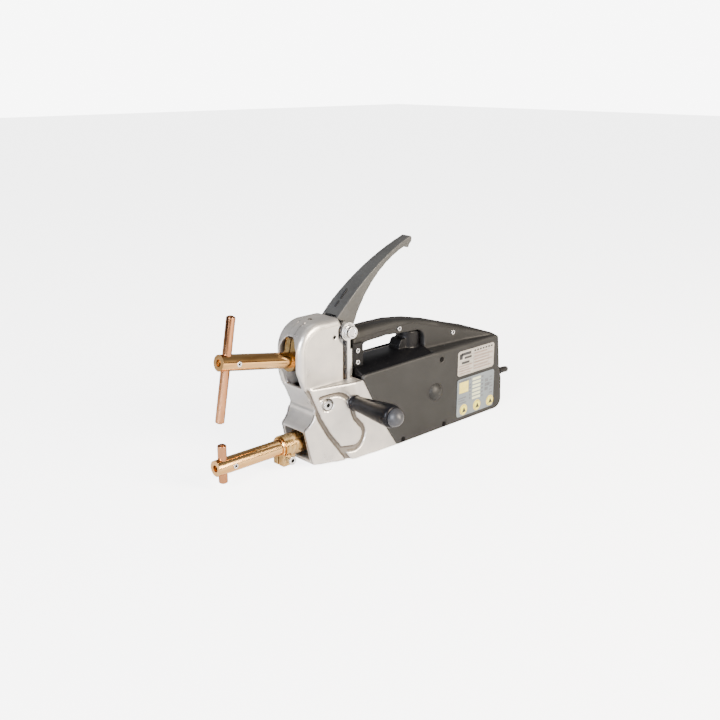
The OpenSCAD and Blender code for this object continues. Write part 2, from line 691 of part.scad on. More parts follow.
module cord_tail() { color("#141414") swept_tube(smooth_path(tail_route, 2), cord_r, 10); }
module cord_coil() {
    color("#141414") translate([coil_at[0], coil_at[1], coil_lift]) rotate_extrude($fn = 72)
        translate([coil_r - cord_d * 1.5, 0]) square([cord_d * 3, cord_d * 2]);
}
// Flat strap round one side of the coil
module cord_tie() {
    inner = coil_r - cord_d * 1.5;
    color("#2c2c2c") translate([coil_at[0] - 4, coil_at[1], 0]) difference() {
        translate([0, inner - 1.6, 0]) cube([8, cord_d * 3 + 3.2, cord_d * 2 + 2]);
        translate([-1, inner - 0.6, coil_lift - 0.02]) cube([10, cord_d * 3 + 1, cord_d * 2 + 0.04]);
    }
}
// Round two-pin plug lying on its side behind the coil
module plug() {
    color("#1a1a1a") translate([134, 180, 19.2]) rotate([0, 90, 0]) {
        translate([4.8, 0, 0]) cylinder(h = 16, r1 = 6, r2 = 9);
        translate([0, 0, 15.5]) cylinder(h = 26, r = 18.6);
        translate([0, 0, 41.5]) cylinder(h = 4, r = 16.8);
        for (y = [-9.5, 9.5]) translate([0, y, 45.5]) cylinder(h = 19, r = 2.4);
    }
}

front_casting();
lever_bracket();
casing_right();
casing_left();
deck_liner();
handle_plates();
plate_screws();
handle_screws();
casing_screws();
dome_plug();
rating_label();
control_panel();
display_window();
button_left();
button_middle();
button_right();
timer_board();
thyristor_module();
chassis_plate();
transformer_core();
primary_coils();
secondary_bar();
terminal_insulator();
flexible_strap();
lower_clamp();
lower_clamp_screw();
lower_arm();
lower_electrode();
electrode_screws();
arm_carrier();
carrier_pin();
carrier_bushes();
carrier_insulator();
upper_clamp();
upper_clamp_screw();
upper_arm();
upper_electrode();
upper_arm_screw();
return_spring();
stop_screw();
lever_shell();
lever_core();
lever_bush();
lever_bolt();
lever_nut();
link_rod();
force_spring();
crank_pin();
trigger_switch();
switch_plunger();
side_grip();
side_grip_cap();
side_grip_stud();
cord_gland();
strain_relief();
cord_tube();
cord_coil();
cord_tail();
cord_tie();
plug();
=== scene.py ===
import json
import math

import bmesh
import bpy
from mathutils import Matrix, Vector


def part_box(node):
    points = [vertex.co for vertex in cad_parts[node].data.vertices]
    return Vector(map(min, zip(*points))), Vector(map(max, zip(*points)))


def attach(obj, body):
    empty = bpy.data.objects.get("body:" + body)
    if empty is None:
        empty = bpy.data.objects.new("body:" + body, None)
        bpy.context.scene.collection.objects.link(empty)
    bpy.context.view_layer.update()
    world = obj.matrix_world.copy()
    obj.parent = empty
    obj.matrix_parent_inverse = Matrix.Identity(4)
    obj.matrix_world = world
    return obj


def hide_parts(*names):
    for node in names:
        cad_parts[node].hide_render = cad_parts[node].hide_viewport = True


# Hand-held spot welder. Metres; +X points to the rear, +Z up, and the panel is on the -Y side.
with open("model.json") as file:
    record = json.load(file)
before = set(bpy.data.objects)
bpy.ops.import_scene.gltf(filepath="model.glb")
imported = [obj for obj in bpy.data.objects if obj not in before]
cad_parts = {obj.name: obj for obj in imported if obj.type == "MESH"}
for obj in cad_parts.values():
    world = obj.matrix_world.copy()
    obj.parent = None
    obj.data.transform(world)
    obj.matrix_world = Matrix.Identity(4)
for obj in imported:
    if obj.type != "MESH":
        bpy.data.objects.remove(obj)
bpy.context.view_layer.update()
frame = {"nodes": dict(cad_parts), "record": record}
scene = bpy.context.scene
MM = 0.001

# ---------------------------------------------------------------- camera
LOOK_AT = Vector((-0.120, 0, 0.1055))
AZIMUTH, ELEVATION = math.radians(-43), math.radians(17.5)
towards_camera = Vector((math.sin(AZIMUTH) * math.cos(ELEVATION),
                         -math.cos(AZIMUTH) * math.cos(ELEVATION), math.sin(ELEVATION)))
camera = bpy.data.objects.new("camera", bpy.data.cameras.new("camera"))
camera.data.lens = 46.2
camera.location = LOOK_AT + towards_camera * 1.1
camera.rotation_euler = towards_camera.to_track_quat("Z", "Y").to_euler()
scene.collection.objects.link(camera)
scene.camera = camera


# ---------------------------------------------------------------- materials
def linear(colour):
    """An sRGB hex colour as the linear colour that a socket takes."""
    parts = [int(colour[i:i + 2], 16) / 255 for i in (1, 3, 5)]
    return [v / 12.92 if v <= 0.04045 else ((v + 0.055) / 1.055) ** 2.4 for v in parts] + [1]


def add(tree, kind, settings=(), links=()):
    """Adds a node, sets its inputs or properties by name, and links its inputs."""
    made = tree.nodes.new(kind)
    for name, value in dict(settings).items():
        if name in made.inputs:
            made.inputs[name].default_value = value
        else:
            setattr(made, name, value)
    for name, output in dict(links).items():
        tree.links.new(output, made.inputs[name])
    return made


FLAT = 0.5  # what a flat face's pointiness reads
MASKED_ROUGHNESS = 0.3


def finish_of(name, colour, second, metallic=0.0, roughness=0.5, spread=0.08, patch=30, grain=0.8,
              depth=0.05, stretch=(1, 1, 1), coat=0.0, edge=None, edge_amount=0.5, sheen=0.0,
              painted_shade=None, painted_shade_amount=0.6, shine=0.5):
    """A surface with two close colours in soft patches, a grain in relief and uneven gloss.
    patch and grain are in millimetres, depth is the height of the grain in millimetres, spread is how far
    the roughness strays either way, and stretch draws the patterns out along an axis where it is small."""
    made = bpy.data.materials.new(name)
    made.use_nodes = True
    tree = made.node_tree
    shader = tree.nodes["Principled BSDF"]
    shader.inputs["Metallic"].default_value = metallic
    shader.inputs["Specular IOR Level"].default_value = shine
    shader.inputs["Coat Weight"].default_value = coat
    shader.inputs["Coat Roughness"].default_value = 0.12
    shader.inputs["Sheen Weight"].default_value = sheen
    place = add(tree, "ShaderNodeTexCoord").outputs["Object"]
    along = add(tree, "ShaderNodeMapping", {"Scale": stretch}, {"Vector": place}).outputs[0]
    patches = add(tree, "ShaderNodeTexNoise", {"Scale": 1 / (patch * MM), "Detail": 4, "Roughness": 0.6},
                  {"Vector": along})
    grains = add(tree, "ShaderNodeTexNoise", {"Scale": 1 / (grain * MM), "Detail": 3, "Roughness": 0.65},
                 {"Vector": along})
    ramp = add(tree, "ShaderNodeValToRGB", (), {"Fac": patches.outputs["Fac"]})
    ramp.color_ramp.elements[0].position, ramp.color_ramp.elements[1].position = 0.32, 0.68
    ramp.color_ramp.elements[0].color = linear(colour)
    ramp.color_ramp.elements[1].color = linear(second)
    shade = ramp.outputs[0]
    if edge:
        # rubbed edges: places more pointed than a flat show the worn colour, broken up by the grain
        shape = add(tree, "ShaderNodeNewGeometry").outputs["Pointiness"]
        rub = add(tree, "ShaderNodeMapRange", {"From Min": FLAT + 0.015, "From Max": FLAT + 0.1,
                                                "To Max": edge_amount}, {"Value": shape})
        broken = add(tree, "ShaderNodeMath", {"operation": "MULTIPLY"})
        tree.links.new(rub.outputs[0], broken.inputs[0])
        tree.links.new(grains.outputs["Fac"], broken.inputs[1])
        mixed = add(tree, "ShaderNodeMixRGB", {"Color2": linear(edge)},
                    {"Fac": broken.outputs[0], "Color1": shade})
        shade = mixed.outputs[0]
    if painted_shade:
        # painted shade: a darker colour in the hollows, where shade falls
        shape = add(tree, "ShaderNodeNewGeometry").outputs["Pointiness"]
        hollow_shade = add(tree, "ShaderNodeMapRange", {"From Min": FLAT - 0.008, "From Max": FLAT - 0.06,
                                                "To Max": painted_shade_amount}, {"Value": shape})
        # the shade mask attribute, where a piece has it, marks its grooves and other places for painted
        # shade: 0 on the face, 1 at the bottom
        groove = add(tree, "ShaderNodeAttribute", {"attribute_name": "shade_mask"}).outputs["Fac"]
        both_shades = add(tree, "ShaderNodeMath", {"operation": "ADD", "use_clamp": True})
        tree.links.new(hollow_shade.outputs[0], both_shades.inputs[0])
        tree.links.new(groove, both_shades.inputs[1])
        mixed = add(tree, "ShaderNodeMixRGB", {"Color2": linear(painted_shade)},
                    {"Fac": both_shades.outputs[0], "Color1": shade})
        shade = mixed.outputs[0]
    tree.links.new(shade, shader.inputs["Base Color"])
    gloss = add(tree, "ShaderNodeMapRange", {"From Min": 0.3, "From Max": 0.7, "To Min": roughness - spread,
                                             "To Max": roughness + spread}, {"Value": patches.outputs["Fac"]})
    rough = gloss.outputs[0]
    if painted_shade:
        # and the places the shade mask marks are made rougher, which takes their gloss off
        dulled = add(tree, "ShaderNodeMath", {"operation": "MULTIPLY_ADD", "use_clamp": True})
        dulled.inputs[1].default_value = MASKED_ROUGHNESS
        tree.links.new(groove, dulled.inputs[0])
        tree.links.new(rough, dulled.inputs[2])
        rough = dulled.outputs[0]
    tree.links.new(rough, shader.inputs["Roughness"])
    bump = add(tree, "ShaderNodeBump", {"Strength": 0.8, "Distance": depth * MM},
               {"Height": grains.outputs["Fac"]})
    tree.links.new(bump.outputs[0], shader.inputs["Normal"])
    return made


# Die-cast aluminium, tumbled: satin silver with a fine sand-like skin and brighter rubbed edges, and a
# brownish grey painted shade in its hollows and grooves
cast_aluminium = finish_of("die_cast_aluminium", "#c3bfb9", "#d3cec6", 0.80, 0.34, 0.08, 18, 0.9, 0.06,
                           edge="#f6f4f0", edge_amount=0.45, painted_shade="#5d5750", painted_shade_amount=0.75)
# The pivot bracket is cast too, but machined on its faces, so it is brighter and smoother
machined_aluminium = finish_of("machined_aluminium", "#c9c6c2", "#dcd9d5", 0.9, 0.28, 0.06, 12, 0.5, 0.02,
                               (1, 1, 0.15), edge="#ffffff", edge_amount=0.8)
# Glass-filled ABS out of a spark-eroded mould: warm dark grey with a fine even grain, and near-black painted
# shade in its hollows and creases; the marked handle and lid take the same darker colour
casing_plastic = finish_of("textured_abs", "#1c1c1b", "#232322", 0, 0.50, 0.05, 40, 0.7, 0.06,
                           edge="#77746f", edge_amount=0.5, painted_shade="#0e0d0c", painted_shade_amount=0.6, shine=0.3)
# The same ABS on the lever, polished a little smoother by hands, with painted shade in its hollows
lever_plastic = finish_of("lever_abs", "#3b3b39", "#444442", 0, 0.44, 0.06, 30, 0.7, 0.05,
                          edge="#8d8882", edge_amount=0.2, painted_shade="#1a1a19", shine=0.4)
# Polished black polypropylene deck: deep black with long soft highlights
liner_plastic = finish_of("polished_black_liner", "#050506", "#09090b", 0, 0.36, 0.06, 35, 2.0, 0.01,
                          shine=0.22)
# The side handle's phenolic, turned and polished: the same black, sharper highlights
grip_plastic = finish_of("polished_black_grip", "#060608", "#0a0a0e", 0, 0.30, 0.05, 20, 1.5, 0.012,
                         edge="#3a3a40", edge_amount=0.3, shine=0.16)
# Satin grey end cap, moulded
cap_plastic = finish_of("satin_grey_cap", "#2f3033", "#393a3d", 0, 0.40, 0.05, 8, 0.6, 0.02, shine=0.35)
# Stove-enamelled black steel plate: faint orange peel
black_enamel = finish_of("black_enamelled_steel", "#070708", "#0c0c0d", 0, 0.40, 0.06, 14, 1.2, 0.03,
                         edge="#4a4a4a", edge_amount=0.2, shine=0.16)
# Bright zinc-plated screws: cool mirror-like metal, slightly clouded
bright_zinc = finish_of("bright_zinc_plate", "#cfd0d2", "#e6e6e6", 1, 0.20, 0.07, 3, 0.4, 0.01)
# Black-oxide screws that sit deep in the casing: near black with a soft metallic gleam
black_oxide = finish_of("black_oxide_steel", "#0d0d0c", "#171615", 0.3, 0.42, 0.08, 3, 0.4, 0.02)
# Painted shade for the bottom of a socket, where a deep narrow hole lies in shade: black without a gleam
socket_shade_paint = finish_of("painted_socket_shade", "#050505", "#090908", 0, 0.7, 0.05, 3, 0.4, 0.01, shine=0.08)
# Drawn copper bar: pale golden orange with drawing lines along the bar and browner clouds of oxide
copper_bar = finish_of("drawn_copper", "#c08a4c", "#e4b97c", 1, 0.14, 0.05, 14, 0.6, 0.02, (0.08, 1, 1))
# The electrodes: redder copper, with its drawing lines along the upright rod
copper_rod = finish_of("drawn_copper_upright", "#935f3c", "#cb9268", 1, 0.16, 0.05, 12, 0.6, 0.02,
                       (1, 1, 0.08))
# Machined brass clamps: yellow with the turning marks of the tool
turned_brass = finish_of("turned_brass", "#b08a4e", "#d2b27c", 1, 0.24, 0.07, 8, 0.6, 0.03, (3, 1, 1))
# Sintered bronze bushes: matt brown gold, open pores
sintered_bronze = finish_of("sintered_bronze", "#7d5c30", "#94703c", 0.9, 0.48, 0.08, 4, 0.3, 0.04)
# Laminated phenolic: brown board with a weave
phenolic_board = finish_of("phenolic_board", "#4b2c17", "#633b20", 0, 0.5, 0.08, 6, 0.8, 0.03, (1, 1, 6))
# Blued spring wire inside the head: dark blue-grey, even
blued_steel = finish_of("blued_spring_steel", "#2e2f33", "#45464b", 1, 0.34, 0.08, 6, 0.5, 0.02)
# Ground steel of the lever's core and the link: mid grey with fine grinding lines along X
ground_steel = finish_of("ground_steel", "#7d7f82", "#95979a", 1, 0.30, 0.08, 8, 0.5, 0.02, (4, 1, 1))
# Stacked transformer sheets: dull grey with a line for each sheet
core_steel = finish_of("stacked_laminations", "#4a4947", "#5d5b58", 0.8, 0.5, 0.08, 10, 0.6, 0.1, (1, 30, 1))
# Enamelled copper wire: red-brown and glossy, drawn coarser than real wire so that the turns show
winding_wire = finish_of("enamelled_winding", "#6b2f0f", "#8a4418", 0.4, 0.3, 0.08, 10, 1.2, 0.2, (1, 1, 12))
# Circuit board under solder lacquer: deep green with a clear film
green_board = finish_of("lacquered_board", "#12402a", "#195236", 0, 0.3, 0.05, 12, 1.0, 0.02, coat=0.3)
# Extruded aluminium: pale grey with die lines along X
heat_sink = finish_of("extruded_heat_sink", "#8f9295", "#a3a6a9", 1, 0.4, 0.06, 14, 0.6, 0.02, (0.1, 1, 1))
# Printed polyester label: off-white and smooth, with a faint orange peel
label_film = finish_of("white_label_film", "#98938a", "#a5a097", 0, 0.36, 0.05, 20, 1.5, 0.01)
# The panel's film is blue-grey and a little glossier than the label
panel_film = finish_of("grey_panel_film", "#626b70", "#6d7579", 0, 0.34, 0.05, 20, 1.5, 0.01)
# Cast acrylic window in yellow: smooth, with a clear face
display_film = finish_of("cream_display_window", "#c9b84e", "#d6c762", 0, 0.16, 0.04, 8, 2.0, 0.005, coat=0.4)
# Screen-printing inks on the films: flat colours that are duller than the film under them
print_black = finish_of("black_print", "#17181a", "#222427", 0, 0.42, 0.05, 5, 0.5, 0.005)
print_grey = finish_of("grey_print", "#4a4e52", "#5c6064", 0, 0.42, 0.05, 5, 0.5, 0.005)
print_brown = finish_of("faded_brown_print", "#7a6a62", "#8d7d74", 0, 0.42, 0.05, 5, 0.5, 0.005)
print_green = finish_of("pale_green_print", "#b9bf9a", "#c6cba8", 0, 0.4, 0.05, 5, 0.5, 0.005)
print_yellow = finish_of("yellow_print", "#cdb64a", "#d8c35e", 0, 0.4, 0.05, 5, 0.5, 0.005)
# Moulded silicone buttons: soft yellow, matt
button_yellow = finish_of("yellow_silicone_button", "#cfc448", "#dad25e", 0, 0.38, 0.06, 5, 0.4, 0.02)
# Extruded rubber sheath: soft black with a dull bloom
lead_rubber = finish_of("rubber_sheath", "#0b0b0c", "#131314", 0, 0.55, 0.08, 12, 0.8, 0.04, sheen=0.06,
                        shine=0.3)
# Moulded rubber of the plug and the sleeve: the same black, a little smoother from its mould
plug_rubber = finish_of("moulded_rubber_plug", "#0b0b0c", "#131314", 0, 0.5, 0.08, 10, 0.8, 0.05, sheen=0.05,
                        shine=0.3)
# Moulded nylon of the switch and the lever's inlays: black, satin
switch_plastic = finish_of("black_switch_plastic", "#171718", "#222224", 0, 0.45, 0.06, 6, 0.5, 0.03)
# The switch's acetal plunger: brick red, slightly waxy
plunger_plastic = finish_of("red_plunger_plastic", "#8e2c1f", "#a03527", 0, 0.4, 0.06, 3, 0.4, 0.02)

# ---------------------------------------------------------------- mains lead
CORD_D = 8.5
LEAD_HEIGHT = 33
COIL_MIDDLE = (64, 124)
COIL_LOW = 5.25
COIL_HIGH = COIL_LOW + CORD_D
RADII = (56, 56 - CORD_D, 56 - 2 * CORD_D)
TURN_STEP, LAST_ANGLE = 10, 1620
CROSSING = 40  # degrees over which a turn moves to its next radius or layer
LEAD = [(147, 0, LEAD_HEIGHT), (152, 0, 32.8), (160, 2, 31.5), (168, 6, 29), (175, 13, 25.5), (180, 22, 21),
        (182, 32, 16.5), (181, 42, 12.5), (177, 51, 9.5), (170, 59, 7.4), (161, 65, 6), (150, 68, 5.3),
        (138, 68.5, 5.2), (124, 68, 5.3), (108, 68, 5.4), (90, 68, 5.4)]
TAIL = [(76, 180, 13.5), (88, 180, 13.2), (100, 180, 13), (112, 180, 13.2), (124, 180, 13.8),
        (134, 180, 14.4)]


def eased(t):
    """0 before 0, 1 after 1, and a soft S between."""
    t = min(1, max(0, t))
    return t * t * (3 - 2 * t)


def coil_point(a):
    """A point of the coil at angle a in degrees, wound inwards below and outwards above.
    The turns all change radius in the same sector, so that they stay a diameter apart."""
    radius = RADII[0]
    for start, before, after in ((100, 0, 1), (460, 1, 2), (1100, 2, 1), (1460, 1, 0)):
        if a > start:
            radius = RADII[before] + (RADII[after] - RADII[before]) * eased((a - start) / CROSSING)
    height = COIL_LOW + (COIL_HIGH - COIL_LOW) * eased((a - 780) / CROSSING)
    turn = math.radians(a)
    return (COIL_MIDDLE[0] - radius * math.sin(turn), COIL_MIDDLE[1] - radius * math.cos(turn), height)


def smooth_route(points, steps):
    """A Catmull-Rom curve through the points, with this many steps between two of them."""
    line = []
    for i in range(len(points) - 1):
        a, b = Vector(points[max(i - 1, 0)]), Vector(points[i])
        c, d = Vector(points[i + 1]), Vector(points[min(i + 2, len(points) - 1)])
        for k in range(steps):
            t = k / steps
            line.append(0.5 * (2 * b + (c - a) * t + (2 * a - 5 * b + 4 * c - d) * t * t
                               + (3 * b - a - 3 * c + d) * t ** 3))
    return line + [Vector(points[-1])]


def mains_lead():
    """One spline from the strain relief through the coil to the plug."""
    turns = [coil_point(a) for a in range(0, LAST_ANGLE + 1, TURN_STEP)]
    line = smooth_route(LEAD + turns + TAIL, 2)
    curve = bpy.data.curves.new("mains_lead", "CURVE")
    curve.dimensions = "3D"
    curve.bevel_depth = CORD_D / 2 * MM
    curve.bevel_resolution = 4
    curve.use_fill_caps = True
    spline = curve.splines.new("POLY")
    spline.points.add(len(line) - 1)
    for point, place in zip(spline.points, line):
        point.co = (*(place * MM), 1)
    spline.use_smooth = True
    lead = bpy.data.objects.new("mains_lead", curve)
    scene.collection.objects.link(lead)
    curve.materials.append(lead_rubber)
    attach(lead, "frame")
    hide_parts("cord_tube", "cord_coil", "cord_tail")
    length = sum((b - a).length for a, b in zip(line, line[1:])) * MM
    return lead, length


# ---------------------------------------------------------------- pieces made from the CAD
body_of_node = {n: body for body, nodes in frame["record"]["behaviour"]["bodies"].items() for n in nodes}
slot_of_node = {row["node"]: row["material_slot"] for row in frame["record"]["subparts"]}


def keep(piece, material, slot, body, *replaced):
    """Links a finished piece, gives it its material and says what it rides on and stands for."""
    if piece.name not in scene.collection.objects:
        scene.collection.objects.link(piece)
    piece.data.materials.clear()
    piece.data.materials.append(material)
    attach(piece, body)
    if replaced:
        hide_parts(*replaced)
    return piece


def merged_copy(node, name, flat_degrees=1.0):
    """A copy of a CAD piece as one welded mesh, without the imported normals."""
    shape = bmesh.new()
    shape.from_mesh(frame["nodes"][node].data)
    bmesh.ops.remove_doubles(shape, verts=shape.verts, dist=2e-6)
    if flat_degrees:
        bmesh.ops.dissolve_limit(shape, angle_limit=math.radians(flat_degrees), verts=shape.verts,
                                 edges=shape.edges)
    mesh = bpy.data.meshes.new(name)
    shape.to_mesh(mesh)
    shape.free()
    if "custom_normal" in mesh.attributes:
        mesh.attributes.remove(mesh.attributes["custom_normal"])
    return bpy.data.objects.new(name, mesh)


def eased_edges(piece, width, segments=2):
    """Breaks the sharp edges of a piece with a small round and shades the rest smooth."""
    piece.data.shade_smooth()
    piece.data.set_sharp_from_angle(angle=math.radians(32))
    round_off = piece.modifiers.new("round_off", "BEVEL")
    round_off.width = width * MM
    round_off.segments = segments
    round_off.profile = 0.5
    round_off.limit_method = "ANGLE"
    round_off.angle_limit = math.radians(32)
    round_off.harden_normals = False
    round_off.use_clamp_overlap = True
    weigh = piece.modifiers.new("weigh_normals", "WEIGHTED_NORMAL")
    weigh.keep_sharp = False
    return piece


def moulded_copy(node, name, voxel, passes):
    """A copy of a CAD piece with all its edges softened, as a cast or moulded part has."""
    piece = merged_copy(node, name, 0)
    scene.collection.objects.link(piece)
    grid = piece.modifiers.new("grid", "REMESH")
    grid.mode = "VOXEL"
    grid.voxel_size = voxel * MM
    soften = piece.modifiers.new("soften", "SMOOTH")
    soften.factor = 0.5
    soften.iterations = passes
    bpy.context.view_layer.update()
    done = piece.evaluated_get(bpy.context.evaluated_depsgraph_get())
    mesh = bpy.data.meshes.new_from_object(done)
    piece.modifiers.clear()
    piece.data = mesh
    mesh.shade_smooth()
    return piece


def rounded(half, radius, depth):
    """Half width of a section whose corner has this radius, at this depth below its top."""
    if depth >= radius:
        return half
    return half - radius + math.sqrt(max(0, radius ** 2 - (radius - max(depth, 0)) ** 2))


def between(x, table):
    """Straight-line value at x from a few (x, value) pairs in rising order."""
    if x <= table[0][0]:
        return table[0][1]
    for (x0, v0), (x1, v1) in zip(table, table[1:]):
        if x <= x1:
            return v0 + (v1 - v0) * (x - x0) / (x1 - x0)
    return table[-1][1]


# the head: half its width, the round between side and rim, and the arc that joins its front and its top
HEAD_HALF, HEAD_ROUND, HEAD_ARC = 22, 7, 32
HEAD_FRONT, HEAD_TOP, HEAD_FOOT = -230, 170, 100
RIM, RIM_STEP = 8.2, 0.45  # the side's flat starts this far in from the outline and stands this proud of it
CHEEK_HALF = [(-222, 22), (-161, 37)]  # (x, half width) of the cheeks below the head
CHEEK_TOP, CHEEK_GROOVE = 96, 3.4


def head_casting():
    """The cast head: its side faces roll over evenly into the front, the brow and the top."""
    piece = moulded_copy("front_casting", "head_and_cheeks", 1.15, 3)
    arc_x, arc_z = HEAD_FRONT + HEAD_ARC, HEAD_TOP - HEAD_ARC
    # the shade mask: where painted shade goes on the casting
    shade_mask = piece.data.attributes.new("shade_mask", "FLOAT", "POINT")
    for vertex in piece.data.vertices:
        x, y, z = (c / MM for c in vertex.co)
        below = between(x, CHEEK_HALF) - abs(y)
        # painted shade in the groove along the cheeks: the further in from their outline, the darker
        if z < CHEEK_TOP and below < CHEEK_GROOVE:
            shade_mask.data[vertex.index].value = 0.85 * eased((below - 0.7) / 1.6)
        if z > HEAD_FOOT and abs(y) > 6:
            inset = HEAD_ARC - math.hypot(max(arc_x - x, 0), max(z - arc_z, 0))
            now = min(rounded(HEAD_HALF, HEAD_ROUND, x - HEAD_FRONT),
                      rounded(HEAD_HALF, HEAD_ROUND, HEAD_TOP - z))
            # the side's flat stands a little proud of its rim, with a shadow line between
            wanted = rounded(HEAD_HALF, HEAD_ROUND, inset) - RIM_STEP * eased((RIM - inset) / 1.4)
            # a painted shadow line on the rim, just outside the step of the side's flat
            if abs(y) > HEAD_HALF - HEAD_ROUND:
                shade_mask.data[vertex.index].value = 0.7 * max(0, 1 - abs(inset - RIM + 1) / 0.9)
            if wanted < now:
                vertex.co.y = y * (wanted / now) * MM
    return keep(piece, cast_aluminium, "cast_aluminium", "frame", "front_casting")


# the handle and the hump behind it, as (x, value) pairs: the height of the crown, the half width, the
# round of the crown's edge, and the height of the line where the band under the crown begins
CROWN = [(-146, 136), (-143, 144), (-134, 149), (-109, 149.5), (-76, 148.5), (-41, 143.5), (-4, 134.5),
         (44, 119.5), (90, 105.5)]
HUMP_HALF = [(-34, 15), (-10, 17), (44, 22), (96, 34)]
HUMP_ROUND = [(-131, 9.5), (-90, 7), (-47, 4), (60, 3.5)]
BAND_EDGE = [(-131, 139), (-47, 141), (21, 122), (90, 104)]
CASING_HALF, DECK_HEIGHT = 37, 103
DECK_ROUND = [(-30, 2.2), (-10, 4.5), (40, 4.5), (70, 2.5)]
LID_START = -10  # x where the lid on the hump begins
LINER_EDGE = 32.2  # the liner covers the deck up to this half width


def casing_shell(node):
    """Half of the casing: the handle's crown and the deck's edges rounded as the mould rounds them."""
    piece = moulded_copy(node, node + "_moulded", 1.2, 2)
    shade_mask = piece.data.attributes.new("shade_mask", "FLOAT", "POINT")
    for vertex in piece.data.vertices:
        x, y, z = (c / MM for c in vertex.co)
        hump = between(x, HUMP_HALF)
        # the handle above the deck is made a little darker than the sides and the lid behind it darker still;
        # the crease along the band's edge gets a painted shade line
        over_band = z - between(x, BAND_EDGE)
        over_deck = z - DECK_HEIGHT - 1
        lid = eased((x - LID_START) / 12) * eased(over_band / 1.5)
        crease = max(0, 1 - abs(over_band) / 1.3) if over_deck > 0 and abs(y) > hump - 3 else 0
        shade_mask.data[vertex.index].value = max(0.25 * eased(over_deck / 4), 0.8 * lid, crease)
        if over_deck > 0:
            # the crown rolls over, and its band above the side face steps in a little
            wanted = rounded(hump, between(x, HUMP_ROUND), between(x, CROWN) - z)
            wanted -= 0.8 * eased(over_band / 1.4)
            if abs(y) > 1.5:
                vertex.co.y = y * max(0.3, wanted / hump) * MM
        elif z > DECK_HEIGHT - 7 and abs(y) > hump + 1:
            wanted = rounded(CASING_HALF, between(x, DECK_ROUND), DECK_HEIGHT - z)
            start = hump + 1 if x > -25 else LINER_EDGE
            if abs(y) < start:
                continue
            share = (wanted - start) / (CASING_HALF - start)
            vertex.co.y = math.copysign(start + (abs(y) - start) * share, y) * MM
    return keep(piece, casing_plastic, "casing_plastic", "frame", node)


LINER_CROWN, LINER_RADIUS, LINER_HALF = 109.5, 57, 30.5


def deck_liner():
    """The polished deck: a true barrel again where the softened copy lies close to it."""
    piece = moulded_copy("deck_liner", "deck_liner_polished", 0.9, 3)
    for vertex in piece.data.vertices:
        y, z = vertex.co.y / MM, vertex.co.z / MM
        if abs(y) > LINER_HALF:
            continue
        ideal = LINER_CROWN - LINER_RADIUS + math.sqrt(LINER_RADIUS ** 2 - y ** 2)
        if abs(z - ideal) < 0.5:
            vertex.co.z = ideal * MM
    return keep(piece, liner_plastic, "liner_plastic", "frame", "deck_liner")


def lever_handle():
    """The lever's shell with the soft edges of its mould."""
    piece = moulded_copy("lever_shell", "squeeze_lever", 0.75, 2)
    return keep(piece, lever_plastic, "lever_plastic", "lever", "lever_shell")


# ---------------------------------------------------------------- pieces made new
def blank(name):
    """An empty piece for a new mesh, at the origin."""
    return bpy.data.objects.new(name, bpy.data.meshes.new(name))


def filled(piece, shape, smooth_degrees=35):
    """Closes a bmesh into a piece with its faces outwards."""
    bmesh.ops.remove_doubles(shape, verts=shape.verts, dist=1e-6)
    bmesh.ops.recalc_face_normals(shape, faces=shape.faces)
    shape.to_mesh(piece.data)
    shape.free()
    piece.data.shade_smooth()
    piece.data.set_sharp_from_angle(angle=math.radians(smooth_degrees))
    return piece


def turned(name, profile, origin, axis, steps=64):
    """A lathe-turned piece. profile is (distance along the axis, radius) pairs in millimetres."""
    shape = bmesh.new()
    points = [shape.verts.new((r * MM, 0, t * MM)) for t, r in profile]
    edges = [shape.edges.new(pair) for pair in zip(points, points[1:])]
    bmesh.ops.spin(shape, geom=points + edges, cent=(0, 0, 0), axis=(0, 0, 1), angle=math.tau, steps=steps,
                   use_merge=True)
    turn = Vector((0, 0, 1)).rotation_difference(Vector(axis)).to_matrix().to_4x4()
    shape.transform(Matrix.Translation(Vector(origin) * MM) @ turn)
    return filled(blank(name), shape)


def bars(name, rows, surface, height):
    """Flat printed or raised bars on the -Y side. rows holds (x0, z0, x1, z1) in millimetres."""
    shape = bmesh.new()
    for x0, z0, x1, z1 in rows:
        made = bmesh.ops.create_cube(shape, size=1)["verts"]
        bmesh.ops.scale(shape, vec=((x1 - x0) * MM, height * MM, (z1 - z0) * MM), verts=made)
        bmesh.ops.translate(shape, vec=((x0 + x1) / 2 * MM, (surface - height / 2) * MM, (z0 + z1) / 2 * MM),
                            verts=made)
    return filled(blank(name), shape)


def side_handle():
    """Polished grip that swells towards its end, with a bead at the casting and a step before the cap."""
    low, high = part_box("side_grip")
    x, z = (low[0] + high[0]) / 2 / MM, (low[2] + high[2]) / 2 / MM
    profile = [(0, 5.2), (0, 8.7), (0.6, 9.5), (2.4, 9.5), (3.0, 8.9), (4.2, 8.6), (8, 8.9), (16, 9.5),
               (24, 10.2), (32, 10.9), (40, 11.7), (48, 12.5), (54, 13.0), (58, 13.3), (60.5, 13.3),
               (62.2, 12.8), (63.4, 12.0), (64, 11.0), (64, 5.2), (0, 5.2)]
    grip = turned("side_grip_turned", profile, (x, high[1] / MM, z), (0, -1, 0))
    keep(grip, grip_plastic, "grip_plastic", "frame", "side_grip")
    cap = [(0, 0), (0, 9.6), (0.3, 10.2), (1.0, 10.5), (2.5, 10.5), (4.2, 10.0), (7.0, 8.5), (9.2, 6.3),
           (10.9, 3.6), (11.6, 1.6), (11.8, 0)]
    dome = turned("side_grip_dome", cap, (x, low[1] / MM - 0.2, z), (0, -1, 0))
    keep(dome, cap_plastic, "cap_plastic", "frame", "side_grip_cap")


